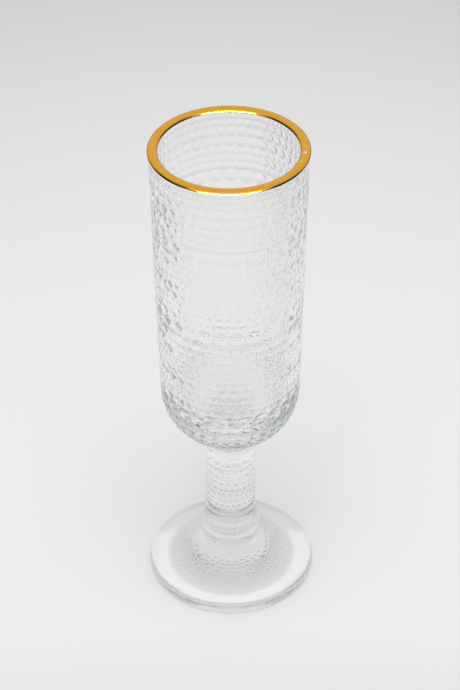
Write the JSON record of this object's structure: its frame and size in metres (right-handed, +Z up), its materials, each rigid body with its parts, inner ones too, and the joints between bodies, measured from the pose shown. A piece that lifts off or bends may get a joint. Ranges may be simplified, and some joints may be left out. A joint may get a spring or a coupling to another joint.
{
  "type": "champagne flute",
  "caption": "Tall pressed clear-glass flute: tube bowl with ringed bead relief, thick rounded base, short stout stem, trumpet disc foot and a gold rim.",
  "frame": {"origin": "centre of the foot's resting plane", "axes": "+Z up along the turning axis, from the foot to the rim; +X and +Y are alike, because every piece is turned about Z"},
  "size_m": [0.063, 0.063, 0.189],
  "materials": {
    "glass": "clear soda-lime glass, fire-polished, outside pressed with round beads",
    "gold": "fired bright gold, polished"
  },
  "bodies": {
    "root": {"gold_rim": "gold", "bowl": "glass", "stem": "glass", "foot": "glass"}
  },
  "joints": []
}
